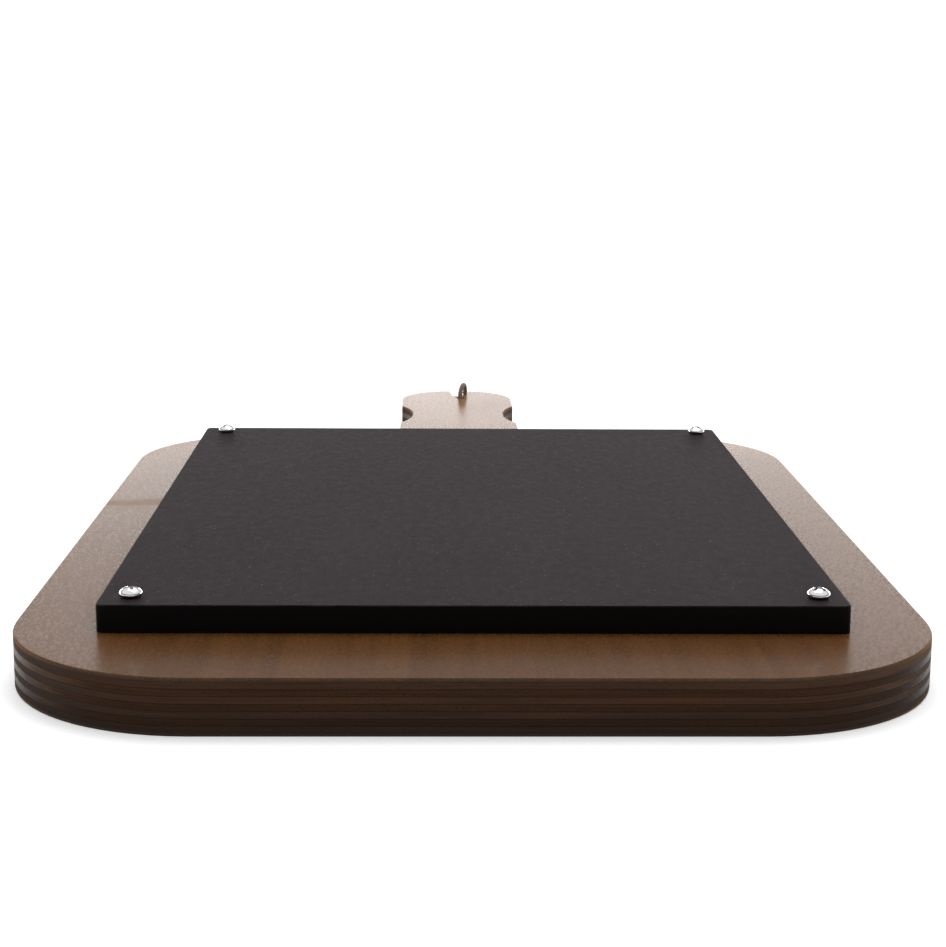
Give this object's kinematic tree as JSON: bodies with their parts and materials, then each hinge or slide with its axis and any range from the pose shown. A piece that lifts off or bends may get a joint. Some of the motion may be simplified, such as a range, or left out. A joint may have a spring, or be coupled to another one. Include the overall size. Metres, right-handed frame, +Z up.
{
  "type": "handled board with screwed-on plate",
  "caption": "Paddle-shaped plywood board with a slim handle, a flat black plate fixed on top by cross-head screws, and a short hanging cord.",
  "frame": {"origin": "middle of the board's footprint, on the surface that it lies on", "axes": "+Z up through the board, +Y along the board towards the end of the handle, +X across the board"},
  "size_m": [0.2, 0.3945, 0.0206],
  "materials": {
    "face_veneer": "walnut-stained birch face veneer, thin satin coat",
    "long_ply": "stained core veneer, grain along the board",
    "cross_ply": "stained core veneer, grain across the board",
    "black_plate": "matt black with fine pale glints",
    "bright_screw": "bright nickel plate",
    "cord": "twisted brown cord"
  },
  "bodies": {
    "root": {"bottom_face_veneer": "face_veneer", "ply_2": "cross_ply", "ply_3": "long_ply", "ply_4": "cross_ply", "ply_5": "long_ply", "ply_6": "cross_ply", "ply_7": "long_ply", "ply_8": "cross_ply", "top_face_veneer": "face_veneer", "black_plate": "black_plate", "screw_front_left": "bright_screw", "screw_front_right": "bright_screw", "screw_rear_left": "bright_screw", "screw_rear_right": "bright_screw", "hanging_cord": "cord", "cord_knot": "cord"}
  },
  "joints": []
}
